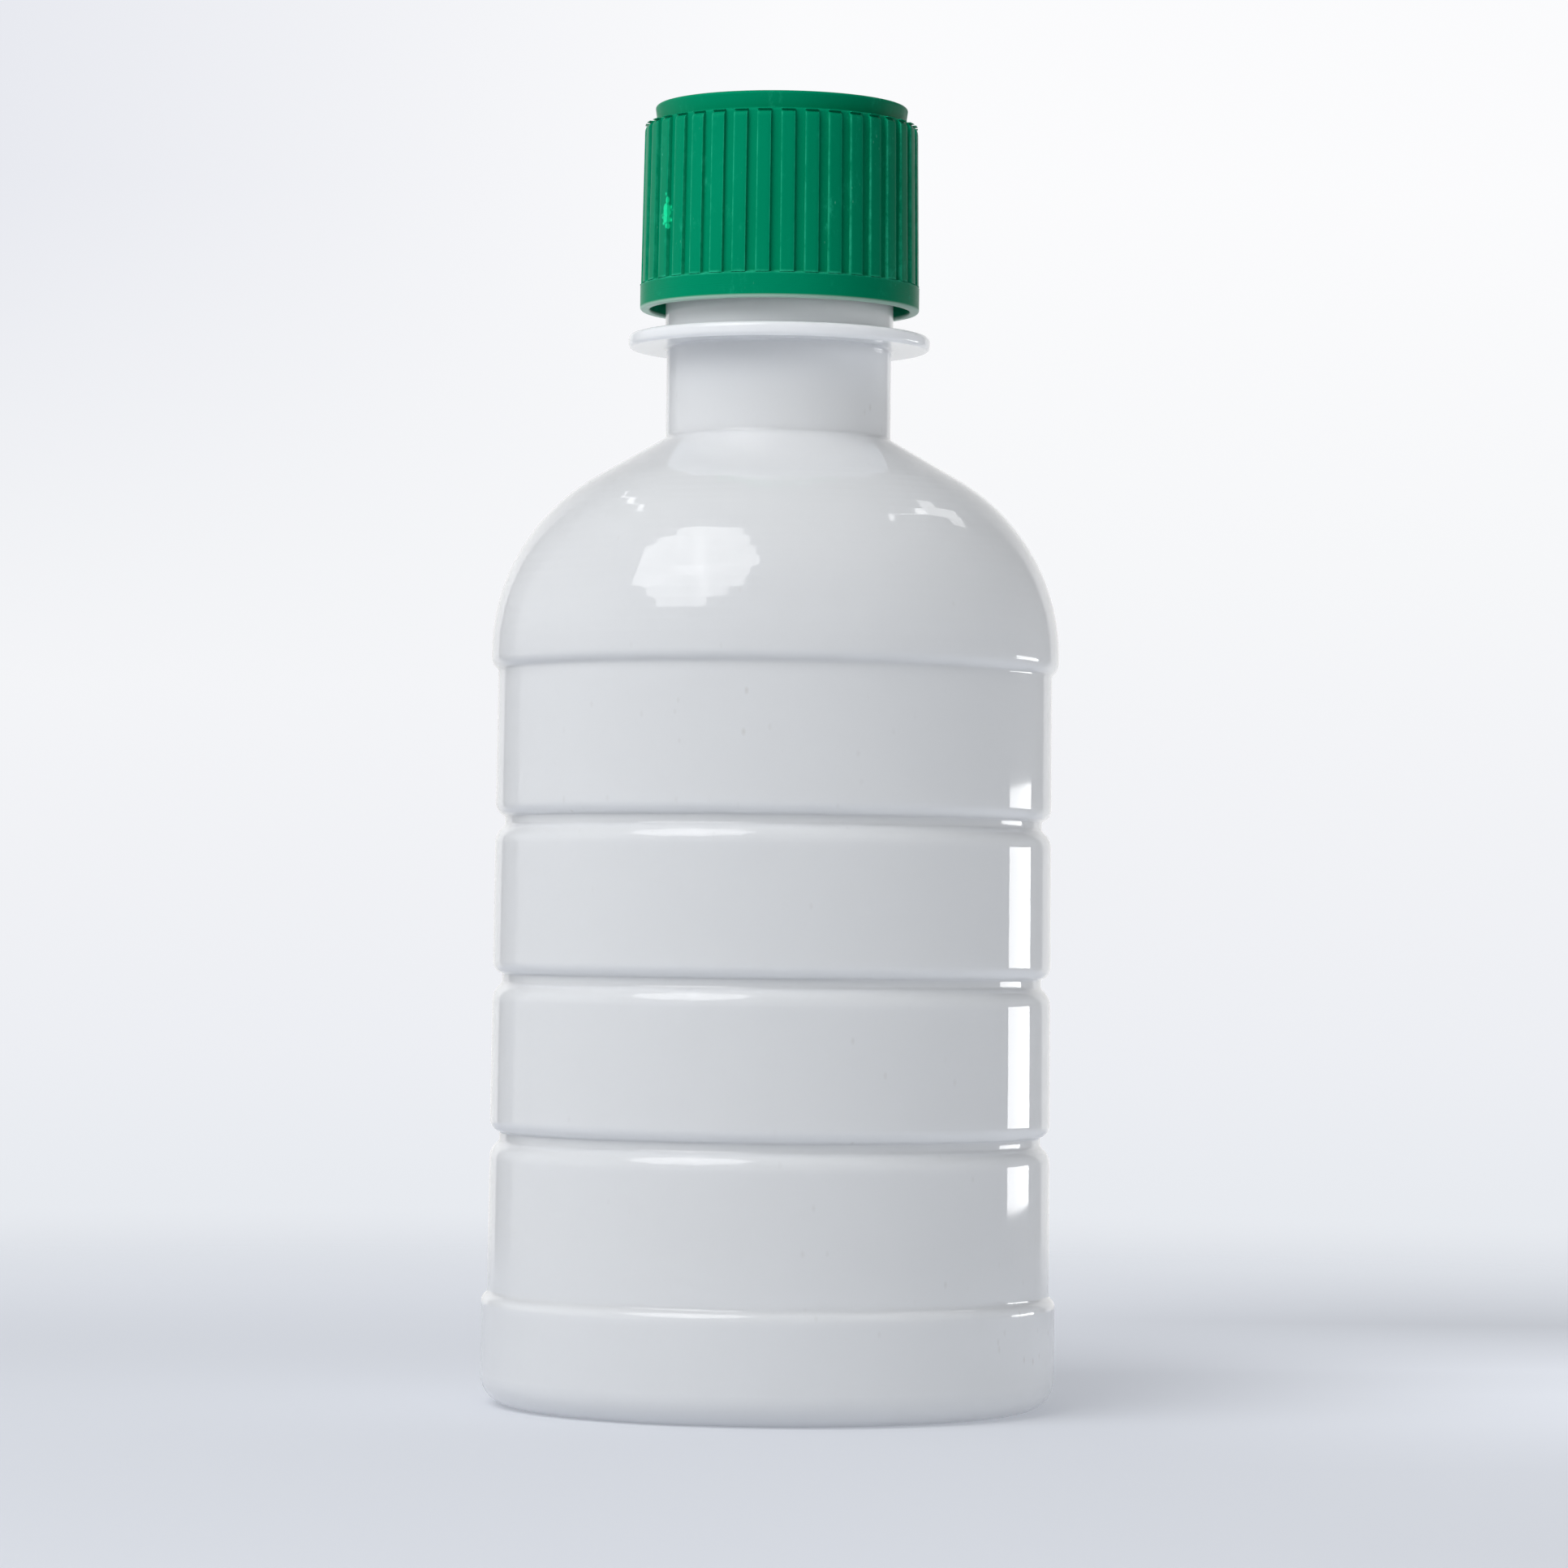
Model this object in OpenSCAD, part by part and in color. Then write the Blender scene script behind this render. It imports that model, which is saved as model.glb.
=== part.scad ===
// A 250 ml round bottle, blown in one piece, with a ribbed screw cap and a sealing disc.
// Every outline is a list of corners, each [radius, height, rounding], spun round +Z.
// The origin is on the table, under the middle of the base.

/* [Base and heel] */
// Radius of the wider band at the foot
foot_r = 31.25; // [28:0.05:36]
// Height of the foot band's upper edge
foot_h = 12.2; // [10:0.1:16]
// Rounding of the heel, where the foot turns under
heel_round = 3.3; // [2:0.1:6]
// Inner radius of the ring that stands on the table
stand_r = 24; // [22:0.1:25]
// Height of the push-up under the base
pushup_h = 4.4; // [2:0.1:8]
// Radius of the flat middle of the push-up
pushup_flat_r = 9; // [6:0.1:14]
// Radius of the small moulding mark in the middle of the base
gate_r = 2.2; // [1:0.1:4]
// How far the moulding mark stands out
gate_h = 0.4; // [0.2:0.1:1]

/* [Body panels] */
// Radius of the body just above the foot band
body_r = 30.6; // [28:0.01:34]
// Angle by which the body narrows towards the shoulder
body_taper = 0.3; // [0:0.05:0.5]
// Height of the middle of the lowest groove
groove_z = 29.05; // [26:0.05:32]
// Distance from one groove to the next
groove_pitch = 17.15; // [14:0.05:20]
// Number of grooves round the body
groove_count = 3; // [1:1:3]
// Depth of a groove
groove_d = 1.04; // [0.6:0.01:2]
// Width of a groove's floor
groove_w = 0.95; // [0.6:0.05:2]
// Slope of a groove's upper wall
panel_foot_slope = 23; // [15:1:35]
// Slope of a groove's lower wall and of the foot band's upper edge
panel_top_slope = 41; // [30:1:50]
// Rounding where a panel ends above a groove
panel_foot_round = 1.4; // [0.3:0.05:2]
// Rounding where a panel or the foot band begins
panel_top_round = 2.2; // [0.3:0.05:3]
// Rounding in the upper corner of a groove
groove_round = 0.22; // [0.05:0.01:0.3]
// Rounding in the lower corner of a groove and under each other step
groove_low_round = 0.55; // [0.05:0.01:0.6]

/* [Shoulder] */
// Radius of the shoulder where it is widest
shoulder_r = 30.98; // [29:0.01:36]
// Height of the shoulder's lower edge
shoulder_z = 80.45; // [76:0.05:90]
// Radius of the domed shoulder
dome_r = 22.2; // [14:0.1:24]
// Slope of the straight cone above the dome
cone_slope = 30; // [24:0.5:36]
// Rounding of the shoulder's lower edge
shoulder_round = 1.5; // [0.3:0.05:2]
// Slope of the step under the shoulder
shoulder_slope = 42; // [20:1:45]

/* [Neck] */
// Height where the neck rises out of the shoulder
neck_z = 105.4; // [100:0.1:120]
// Radius of the neck under the support ring
neck_low_r = 12.3; // [11.5:0.05:15]
// Rounding where the neck meets the shoulder
neck_round = 0.6; // [0.2:0.05:1]
// Length of the neck from the shoulder to the support ring
neck_low_len = 9.8; // [8:0.1:20]
// Radius of the support ring
ring_r = 16.5; // [15:0.05:22]
// Thickness of the support ring
ring_t = 1.5; // [1:0.05:2.5]
// Rounding of the support ring's rim
ring_round = 0.5; // [0.1:0.05:0.6]
// Length of the threaded neck above the support ring
finish_len = 22.3; // [20:0.05:26]
// Radius of the neck above the support ring
finish_r = 12.47; // [12:0.01:14]
// Thickness of the neck's wall at the thread
finish_wall = 1.57; // [1.2:0.01:2]
// Rounding of the mouth's two edges
mouth_round = 0.45; // [0.1:0.05:0.6]

/* [Wall] */
// Thickness of the blown wall
wall = 0.7; // [0.4:0.05:0.9]
// Length of the stretch where the neck's thick wall thins to the blown wall
thinning_len = 4; // [2:0.1:6]

/* [Thread] */
// Rise of the thread in one turn
pitch = 3.18; // [3:0.01:4]
// Height of the neck's thread above the plain neck
thread_h = 1.23; // [0.8:0.01:1.3]
// Turns of thread on the neck
neck_turns = 1.8; // [1:0.05:2]
// Turns of thread in the cap
cap_turns = 1.6; // [1:0.05:2]
// Plain neck between the mouth and the middle of the top of the thread
thread_lead = 2.9; // [2.4:0.1:4]
// Width of a thread ridge at its root
thread_root_w = 2.2; // [1.6:0.05:2.3]
// Width of a thread ridge at its crest
thread_crest_w = 0.9; // [0.5:0.05:1]
// Gap between the neck's thread and the cap's wall
thread_gap = 0.25; // [0.15:0.01:0.5]
// Gap between the cap's thread and the neck's wall
crest_gap = 0.33; // [0.2:0.01:0.6]

/* [Cap] */
// Height of the cap from its rim to its top
cap_h = 22.4; // [18:0.1:24]
// Thickness of the cap's top
cap_top_t = 1.6; // [1:0.05:2.5]
// Thickness of the cap's wall between the ribs, at its top
cap_wall = 0.55; // [0.4:0.01:1]
// How much wider the cap is at its rim than at its top
cap_draft = 0.25; // [0:0.01:0.5]
// Number of ribs
rib_count = 36; // [24:1:48]
// Share of each rib's space that the rib fills
rib_share = 0.58; // [0.4:0.01:0.7]
// How far the ribs stand out
rib_h = 0.45; // [0.2:0.01:0.8]
// Height over which the top end of a rib slopes in
rib_end = 0.9; // [0.4:0.1:2]
// Height of the plain band at the rim
band_h = 2.75; // [1.5:0.05:4]
// How far the band stands out beyond the ribs
band_proud = 0.07; // [0.05:0.01:0.4]
// Depth of the wider mouth inside the rim
rim_relief = 0.3; // [0.1:0.01:0.4]
// Height of the wider mouth inside the rim
rim_relief_h = 2; // [1:0.1:3]
// Height of the smooth disc that stands above the ribs
disc_h = 1.95; // [1:0.05:3]
// Radius of the disc at its top
disc_r = 13.86; // [13:0.01:16]
// How much the disc narrows towards its foot
disc_undercut = 0.28; // [0:0.01:0.5]
// Radius of the dimple that the mould's gate leaves in the middle of the top
dimple_r = 2; // [1:0.1:4]
// Depth of the dimple
dimple_d = 0.35; // [0.1:0.05:0.6]

/* [Sealing disc] */
// Thickness of the sealing disc inside the cap
liner_t = 1.2; // [0.5:0.05:2]
// Gap between the neck and the narrower seat of the sealing disc in the cap
seat_gap = 0.4; // [0.2:0.01:0.5]
// How far the seat reaches down over the neck
seat_h = 1; // [0.5:0.1:1.3]
// Slope of the cap's inside below the seat
seat_slope = 30; // [10:1:40]
// Gap between the sealing disc and its seat
liner_gap = 0.12; // [0.05:0.01:0.2]

/* [Hidden] */
$fn = 96;

// Heights up the neck, each resting on the one below
ring_z = neck_z + neck_low_len;
finish_z = ring_z + ring_t;
mouth_z = finish_z + finish_len;
liner_top = mouth_z + liner_t;
cap_top = liner_top + cap_top_t;
cap_rim = cap_top - cap_h;

// Radii of the neck and the thread
bore_r = finish_r - finish_wall;
thread_r = finish_r + thread_h;
cap_bore_r = thread_r + thread_gap;
cap_crest_r = finish_r + crest_gap;
seat_r = finish_r + seat_gap;
seat_z = mouth_z - seat_h;

// Heights of the two threads, the cap's lying midway between the turns of the neck's
neck_thread_z = mouth_z - thread_lead - neck_turns * pitch;
cap_thread_z = neck_thread_z - pitch / 2;
// Length of thread over which a ridge runs out, and the turn from one section to the next
fade_deg = 40;
thread_step = 10;
// How far a ridge is sunk into the wall that carries it
root_sink = 0.3;

// Radii of the cap's outside
cap_core_r = cap_bore_r + cap_wall;
cap_rib_r = cap_core_r + rib_h;
band_r = cap_rib_r + cap_draft + band_proud;
ledge_z = cap_top - disc_h;
band_top = cap_rim + band_h;
rib_deg = 360 / rib_count * rib_share;
edge_round = 0.3;

function unit(v) = v / norm(v);
function inward(d) = [d.y, -d.x];
function turn(d, e) = d.x * e.y - d.y * e.x;
function flat(p) = [p.x, p.y];

// Steps along an arc: fine on the large curves, coarser on the small roundings
function arc_steps(r, sweep) = max(2, ceil(abs(sweep) / (r > 5 ? 4 : 22.5)));

// Points of one corner at b, between the corners a and c
function corner(a, b, c, r) =
    let (
        u = unit(a - b),
        v = unit(c - b),
        half = acos(max(-1, min(1, u * v))) / 2
    )
    r <= 0 || half > 89.9 ? [b] :
    let (
        centre = b + unit(u + v) * r / sin(half),
        start = b + u * r / tan(half) - centre,
        from = atan2(start.y, start.x),
        sweep = (180 - 2 * half) * (turn(-u, v) > 0 ? 1 : -1),
        n = arc_steps(r, sweep)
    )
    [for (i = [0:n]) centre + r * [cos(from + sweep * i / n), sin(from + sweep * i / n)]];

// A list of corners as points, its two ends left sharp
function rounded(path) = [
    for (i = [0:len(path) - 1])
        each (i == 0 || i == len(path) - 1) ? [flat(path[i])] :
            corner(flat(path[i - 1]), flat(path[i]), flat(path[i + 1]), path[i].z)
];

// The same list of corners moved inwards by the wall's thickness
function inset(path, t) = [
    for (i = [0:len(path) - 1])
        let (
            before = i == 0 ? flat(path[1]) - flat(path[0]) : flat(path[i]) - flat(path[i - 1]),
            after = i == len(path) - 1 ? before : flat(path[i + 1]) - flat(path[i]),
            m = inward(unit(before)),
            n = inward(unit(after)),
            p = flat(path[i]) + (m + n) * t / (1 + m * n),
            r = path[i].z + (turn(before, after) < 0 ? -t : t)
        )
        [p.x, p.y, path[i].z > 0 ? max(0, r) : 0]
];

function reversed(points) = [for (i = [len(points) - 1:-1:0]) points[i]];

// Radius of the body's panels at a height
function panel_r(z) = body_r - (z - foot_h) * tan(body_taper);

// Height that a sloping step takes up for its depth
function step_dz(depth, slope) = depth * tan(slope);

// The rounding of a step's outer edge, no larger than its wall has room for beside the inner one
function step_round(wanted, inner, depth, slope) =
    max(0, min(wanted, 0.96 * depth / (1 - sin(slope)) - inner));

// The four corners of one groove, from its top down
function groove(z) =
    let (
        r = panel_r(z),
        floor_r = r - groove_d,
        half = groove_w / 2,
        foot_round = step_round(panel_foot_round, groove_round, groove_d, panel_foot_slope),
        top_round = step_round(panel_top_round, groove_low_round, groove_d, panel_top_slope)
    )
    [
        [r, z + half + step_dz(groove_d, panel_foot_slope), foot_round],
        [floor_r, z + half, groove_round],
        [floor_r, z - half, groove_low_round],
        [r, z - half - step_dz(groove_d, panel_top_slope), top_round]
    ];

// Corners of the blown shell's outside, from the neck down to the middle of the base
dome_corner_z = neck_z - (shoulder_r - neck_low_r) * tan(cone_slope);
thin_z = ring_z - 2 - thinning_len;
lip_d = shoulder_r - panel_r(shoulder_z);
foot_d = foot_r - body_r;
shell_path = [
    [neck_low_r, thin_z, 0],
    [neck_low_r, neck_z, neck_round],
    [shoulder_r, dome_corner_z, dome_r],
    [shoulder_r, shoulder_z, step_round(shoulder_round, groove_low_round, lip_d, shoulder_slope)],
    [panel_r(shoulder_z), shoulder_z - step_dz(lip_d, shoulder_slope), groove_low_round],
    for (i = [groove_count - 1:-1:0]) each groove(groove_z + i * groove_pitch),
    [body_r, foot_h, groove_low_round],
    [foot_r, foot_h - step_dz(foot_d, panel_top_slope),
        step_round(panel_top_round, groove_low_round, foot_d, panel_top_slope)],
    [foot_r, 0, heel_round],
    [stand_r, 0, 2],
    [stand_r - 3, pushup_h - 1.4, 3],
    [pushup_flat_r, pushup_h, 10],
    [0, pushup_h, 0]
];

// Corners of the neck's outside, from the mouth down to the blown shell
finish_path = [
    [bore_r + mouth_round, mouth_z, 0],
    [finish_r, mouth_z, mouth_round],
    [finish_r, finish_z, 0.3],
    [ring_r, finish_z, ring_round],
    [ring_r, ring_z, ring_round],
    [neck_low_r, ring_z, 0.4],
    [neck_low_r, thin_z, 0]
];

// Corners of the neck's bore, from the blown shell up to the mouth
bore_path = [
    [neck_low_r - wall, thin_z, 0],
    [bore_r, thin_z + thinning_len, 3],
    [bore_r, mouth_z, mouth_round],
    [bore_r + mouth_round, mouth_z, 0]
];

// One thread ridge: a trapezium carried round a helix, running out at both ends.
// sink_r lies inside the wall that carries the ridge, and crest_r is its free edge.
module thread_ridge(wall_r, crest_r, z, turns) {
    out = crest_r > wall_r ? 1 : -1;
    n = ceil(turns * 360 / thread_step);
    sink_r = wall_r - out * root_sink;
    hidden_r = wall_r - out * root_sink / 2;
    points = [
        for (i = [0:n])
            let (
                a = turns * 360 * i / n,
                full = min(1, a / fade_deg, (turns * 360 - a) / fade_deg),
                r = hidden_r + (crest_r - hidden_r) * full,
                h = z + pitch * a / 360
            )
            each [
                for (s = [
                    [sink_r, -thread_root_w / 2],
                    [r, -thread_crest_w / 2],
                    [r, thread_crest_w / 2],
                    [sink_r, thread_root_w / 2]
                ]) [s.x * cos(a), s.x * sin(a), h + s.y]
            ]
    ];
    sides = [
        for (i = [0:n - 1], j = [0:3])
            let (a = 4 * i + j, b = 4 * i + (j + 1) % 4)
            each out > 0 ? [[a, b, a + 4], [b, b + 4, a + 4]] : [[b, a, a + 4], [b, a + 4, b + 4]]
    ];
    ends = out > 0
        ? [[2, 1, 0], [3, 2, 0], [4 * n, 4 * n + 1, 4 * n + 2], [4 * n, 4 * n + 2, 4 * n + 3]]
        : [[0, 1, 2], [0, 2, 3], [4 * n + 2, 4 * n + 1, 4 * n], [4 * n + 3, 4 * n + 2, 4 * n]];
    polyhedron(points = points, faces = concat(sides, ends));
}

// The blown bottle: base, grooved body, domed shoulder, support ring and threaded neck
module bottle() {
    color("#e3e6ea") {
        rotate_extrude()
            polygon(concat(
                rounded(finish_path),
                rounded(shell_path),
                reversed(rounded(inset(shell_path, wall))),
                rounded(bore_path)
            ));
        translate([0, 0, pushup_h - gate_h])
            cylinder(h = gate_h + wall / 2, r = gate_r);
        thread_ridge(finish_r, thread_r, neck_thread_z, neck_turns);
    }
}

// Corners of the cap's section, from the middle of its top round to the middle of its underside
cap_path = [
    [0, cap_top - dimple_d, 0],
    [dimple_r - 0.4, cap_top - dimple_d, 0.1],
    [dimple_r, cap_top, 0.1],
    [disc_r, cap_top, edge_round],
    [disc_r - disc_undercut, ledge_z, 0.15],
    [cap_core_r, ledge_z, edge_round],
    [cap_core_r + cap_draft, band_top, 0.1],
    [band_r, band_top, 0.15],
    [band_r, cap_rim, edge_round],
    [cap_bore_r + rim_relief, cap_rim, edge_round / 2],
    [cap_bore_r + rim_relief, cap_rim + rim_relief_h, 0.2],
    [cap_bore_r, cap_rim + rim_relief_h + rim_relief, 0.2],
    [cap_bore_r, seat_z - step_dz(cap_bore_r - seat_r, seat_slope), 0.2],
    [seat_r, seat_z, 0.2],
    [seat_r, liner_top, 0],
    [0, liner_top, 0]
];

// One rib: a slice of a ring that widens towards the rim, its top end sloping in
module rib() {
    rotate([0, 0, -rib_deg / 2])
        rotate_extrude(angle = rib_deg)
            polygon([
                [cap_core_r - cap_wall / 2, band_top - 0.2],
                [cap_rib_r + cap_draft, band_top - 0.2],
                [cap_rib_r, ledge_z - rib_end],
                [cap_core_r - edge_round, ledge_z],
                [cap_core_r - cap_wall / 2, ledge_z - edge_round]
            ]);
}

// The moulded screw cap: smooth disc, ribbed skirt, plain band at the rim and thread inside
module cap() {
    color("#008a5f") {
        rotate_extrude()
            polygon(rounded(cap_path));
        for (i = [0:rib_count - 1])
            rotate([0, 0, i * 360 / rib_count])
                rib();
        thread_ridge(cap_bore_r, cap_crest_r, cap_thread_z, cap_turns);
    }
}

// The sealing disc that lies between the bottle's mouth and the cap's top
module liner() {
    color("#f1f1ec")
        translate([0, 0, mouth_z])
            cylinder(h = liner_t, r = seat_r - liner_gap);
}

bottle();
cap();
liner();
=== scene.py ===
# %% [markdown]
# # A white plastic bottle with a green screw cap
#
# The bottle is one blown piece of milky plastic: a foot band, four straight panels with grooves
# between them, a domed shoulder, a neck with a support ring, and a thread under the cap. The cap
# is one moulded piece with ribs for the fingers, and a thin foam disc inside it seals the mouth.
#
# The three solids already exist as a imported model, at their real size. This lesson builds finer
# pieces over them, gives each its finish, and lights and frames them as in the photograph.

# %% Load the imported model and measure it
import math

import bpy
from mathutils import Matrix, Vector


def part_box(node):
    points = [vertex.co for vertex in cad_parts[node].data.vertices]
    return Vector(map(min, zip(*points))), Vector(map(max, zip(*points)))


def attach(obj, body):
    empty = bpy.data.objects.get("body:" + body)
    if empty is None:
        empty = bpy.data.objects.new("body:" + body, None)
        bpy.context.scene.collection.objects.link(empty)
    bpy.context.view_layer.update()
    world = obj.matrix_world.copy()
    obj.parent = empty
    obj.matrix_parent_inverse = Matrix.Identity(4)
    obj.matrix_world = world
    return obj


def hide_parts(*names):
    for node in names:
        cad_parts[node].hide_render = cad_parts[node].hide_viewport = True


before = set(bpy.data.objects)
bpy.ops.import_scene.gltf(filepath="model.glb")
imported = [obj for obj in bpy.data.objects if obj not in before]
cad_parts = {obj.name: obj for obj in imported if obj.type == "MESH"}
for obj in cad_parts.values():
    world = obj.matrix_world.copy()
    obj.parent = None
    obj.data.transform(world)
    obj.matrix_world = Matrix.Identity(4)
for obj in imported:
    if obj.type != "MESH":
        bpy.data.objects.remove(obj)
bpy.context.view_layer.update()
MM = 0.001


def box_mm(node):
    """The lowest and highest corner of a solid, in millimetres."""
    low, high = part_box(node)
    return low / MM, high / MM


bottle_low, bottle_high = box_mm("bottle")
cap_low, cap_high = box_mm("cap")
liner_low, liner_high = box_mm("liner")
print("bottle to the mouth", round(bottle_high.z, 2), "mm, with its cap", round(cap_high.z, 2), "mm")

# %% [markdown]
# ## Drawing a section and spinning it
#
# A blown bottle and a screw cap are both round about one axis, so each starts as half a section.
# It could be a lathe modifier on a curve. Here the section is drawn in edit mode, one extruded
# vertex after another, because its corners can then be given as radius, height and rounding, just
# as a mould drawing gives them, and the roundings come out as true arcs.

# %% Corners to points
FINE_ARC = math.radians(3)
SMALL_ARC = math.radians(11.25)
LARGE_ROUNDING = 5


def arc_points(before, corner, after, rounding):
    """Points of one rounded corner, from the side before it to the side after it."""
    u = (before - corner).normalized()
    v = (after - corner).normalized()
    half = math.acos(max(-1.0, min(1.0, u.dot(v)))) / 2
    if rounding <= 0 or half > math.radians(89.9):
        return [corner]
    centre = corner + (u + v).normalized() * rounding / math.sin(half)
    start = corner + u * rounding / math.tan(half) - centre
    sweep = math.copysign(math.pi - 2 * half, (-u).cross(v))
    step = FINE_ARC if rounding > LARGE_ROUNDING else SMALL_ARC
    count = max(2, math.ceil(abs(sweep) / step))
    turns = [Matrix.Rotation(sweep * i / count, 2) for i in range(count + 1)]
    return [centre + turn @ start for turn in turns]


def rounded(corners):
    """The points of an outline given as corners of radius, height and rounding."""
    flat = [Vector(corner[:2]) for corner in corners]
    points = [flat[0]]
    for i in range(1, len(flat) - 1):
        points += arc_points(flat[i - 1], flat[i], flat[i + 1], corners[i][2])
    return points + [flat[-1]]


def supported(points, reach=0.15, long=1.0):
    """Adds a point near both ends of each long straight stretch, so that it stays flat when smoothed."""
    result = [points[0]]
    for here, there in zip(points, points[1:]):
        if (there - here).length > long:
            along = (there - here).normalized() * reach
            result += [here + along, there - along]
        result.append(there)
    return result


def inset(corners, wall):
    """The same corners moved inwards by the thickness of the wall."""
    flat = [Vector(corner[:2]) for corner in corners]
    moved = []
    for i, corner in enumerate(corners):
        before = (flat[i] - flat[i - 1] if i else flat[1] - flat[0]).normalized()
        after = (flat[i + 1] - flat[i]).normalized() if i < len(flat) - 1 else before
        m = Vector((before.y, -before.x))
        n = Vector((after.y, -after.x))
        place = flat[i] + (m + n) * wall / (1 + m.dot(n))
        rounding = corner[2] + (-wall if before.cross(after) < 0 else wall)
        moved.append((place.x, place.y, max(0, rounding) if corner[2] else 0))
    return moved


# %% Points to a mesh
def deselect_all():
    """Leaves nothing selected, in object mode."""
    if bpy.context.object and bpy.context.object.mode != "OBJECT":
        bpy.ops.object.mode_set(mode="OBJECT")
    bpy.ops.object.select_all(action="DESELECT")


def draw_section(name, points):
    """Extrudes one vertex along the points, in the XZ plane, and stays in edit mode."""
    deselect_all()
    bpy.ops.mesh.primitive_plane_add(size=MM)
    piece = bpy.context.object
    piece.name = name
    bpy.ops.object.mode_set(mode="EDIT")
    bpy.ops.mesh.select_all(action="SELECT")
    bpy.ops.mesh.merge(type="CENTER")
    bpy.ops.transform.translate(value=(points[0].x * MM, 0, points[0].y * MM))
    for here, there in zip(points, points[1:]):
        step = (there - here) * MM
        bpy.ops.mesh.extrude_vertices_move(TRANSFORM_OT_translate={"value": (step.x, 0, step.y)})
    return piece


def spin_round(steps):
    """Spins the drawn section once round the Z axis and closes the seam and the poles."""
    bpy.ops.mesh.select_all(action="SELECT")
    bpy.ops.mesh.spin(steps=steps, angle=2 * math.pi, center=(0, 0, 0), axis=(0, 0, 1))
    bpy.ops.mesh.select_all(action="SELECT")
    bpy.ops.mesh.remove_doubles(threshold=MM / 1000)
    bpy.ops.mesh.normals_make_consistent(inside=False)


def select_where(piece, kind, wanted):
    """Selects the faces or edges of the piece being edited for which wanted() is true."""
    bpy.ops.mesh.select_all(action="DESELECT")
    bpy.ops.mesh.select_mode(type="FACE" if kind == "faces" else "EDGE" if kind == "edges" else "VERT")
    bpy.ops.object.mode_set(mode="OBJECT")
    mesh = piece.data
    items = {"faces": mesh.polygons, "edges": mesh.edges, "vertices": mesh.vertices}[kind]
    count = 0
    for item in items:
        item.select = bool(wanted(item))
        count += item.select
    bpy.ops.object.mode_set(mode="EDIT")
    return count


def apply_modifiers(piece):
    """Applies every modifier of a piece, in their order."""
    deselect_all()
    piece.select_set(True)
    bpy.context.view_layer.objects.active = piece
    for modifier in list(piece.modifiers):
        bpy.ops.object.modifier_apply(modifier=modifier.name)


def smooth(piece, sharp_deg):
    """Shades a piece smooth, with edges sharper than the angle left crisp."""
    deselect_all()
    piece.select_set(True)
    bpy.context.view_layer.objects.active = piece
    bpy.ops.object.shade_smooth_by_angle(angle=math.radians(sharp_deg))
    mesh = piece.data
    print(piece.name, len(mesh.vertices), "vertices,", sum(len(p.vertices) - 2 for p in mesh.polygons),
          "triangles")


# %% [markdown]
# ## The thread
#
# The neck and the cap carry a matching ridge. The Screw modifier makes such a helix from one
# small section: it turns the section and lifts it by the pitch at the same time. The real ridge
# runs out at both ends so that the mould opens and the cap starts easily, so the first and last
# part of a turn are eased back into the wall afterwards.

# %% A thread ridge
PITCH = 3.18
THREAD_ROOT_W = 2.2
THREAD_CREST_W = 0.9
FADE_DEG = 40
ROOT_SINK = 0.3
SECTIONS_PER_TURN = 72


def thread_ridge(name, wall_r, crest_r, start_z, turns):
    """One ridge on a wall of radius wall_r, reaching in or out to crest_r."""
    out = 1 if crest_r > wall_r else -1
    sink_r = wall_r - out * ROOT_SINK
    crest_round = 0.25
    corners = [
        (sink_r, start_z - THREAD_ROOT_W / 2, 0),
        (crest_r, start_z - THREAD_CREST_W / 2, crest_round),
        (crest_r, start_z + THREAD_CREST_W / 2, crest_round),
        (sink_r, start_z + THREAD_ROOT_W / 2, 0),
    ]
    section = rounded(corners)
    ridge = draw_section(name, section + [section[0]])
    bpy.ops.mesh.select_all(action="SELECT")
    bpy.ops.mesh.remove_doubles(threshold=MM / 1000)
    bpy.ops.object.mode_set(mode="OBJECT")
    ring = len(ridge.data.vertices)
    screw = ridge.modifiers.new("helix", "SCREW")
    screw.axis = "Z"
    screw.angle = 2 * math.pi * turns
    screw.screw_offset = PITCH * turns * MM
    screw.steps = screw.render_steps = round(SECTIONS_PER_TURN * turns)
    screw.use_merge_vertices = False
    apply_modifiers(ridge)
    ease_ends(ridge, ring, turns, wall_r - out * ROOT_SINK / 2, out)
    close_ends(ridge, ring)
    return ridge


def ease_ends(ridge, ring, turns, hidden_r, out):
    """Draws the ends of a ridge back into its wall."""
    last = len(ridge.data.vertices) // ring - 1
    for i, vertex in enumerate(ridge.data.vertices):
        angle = 360 * turns * (i // ring) / last
        full = min(1, angle / FADE_DEG, (360 * turns - angle) / FADE_DEG)
        radius = math.hypot(vertex.co.x, vertex.co.y)
        beyond = (radius / MM - hidden_r) * out
        if beyond > 0:
            shrink = (hidden_r + out * beyond * full) * MM / radius
            vertex.co.x *= shrink
            vertex.co.y *= shrink


def close_ends(ridge, ring):
    """Fills the two open ends of a ridge and points its faces outwards."""
    total = len(ridge.data.vertices)
    bpy.ops.object.mode_set(mode="EDIT")
    for first in (0, total - ring):
        select_where(ridge, "vertices", lambda v: first <= v.index < first + ring)
        bpy.ops.mesh.edge_face_add()
    bpy.ops.mesh.select_all(action="SELECT")
    bpy.ops.mesh.normals_make_consistent(inside=False)
    bpy.ops.object.mode_set(mode="OBJECT")


def join_into(piece, parts):
    """Joins finished parts into a piece, as one mesh."""
    deselect_all()
    for part in parts:
        part.select_set(True)
    piece.select_set(True)
    bpy.context.view_layer.objects.active = piece
    bpy.ops.object.join()


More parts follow.
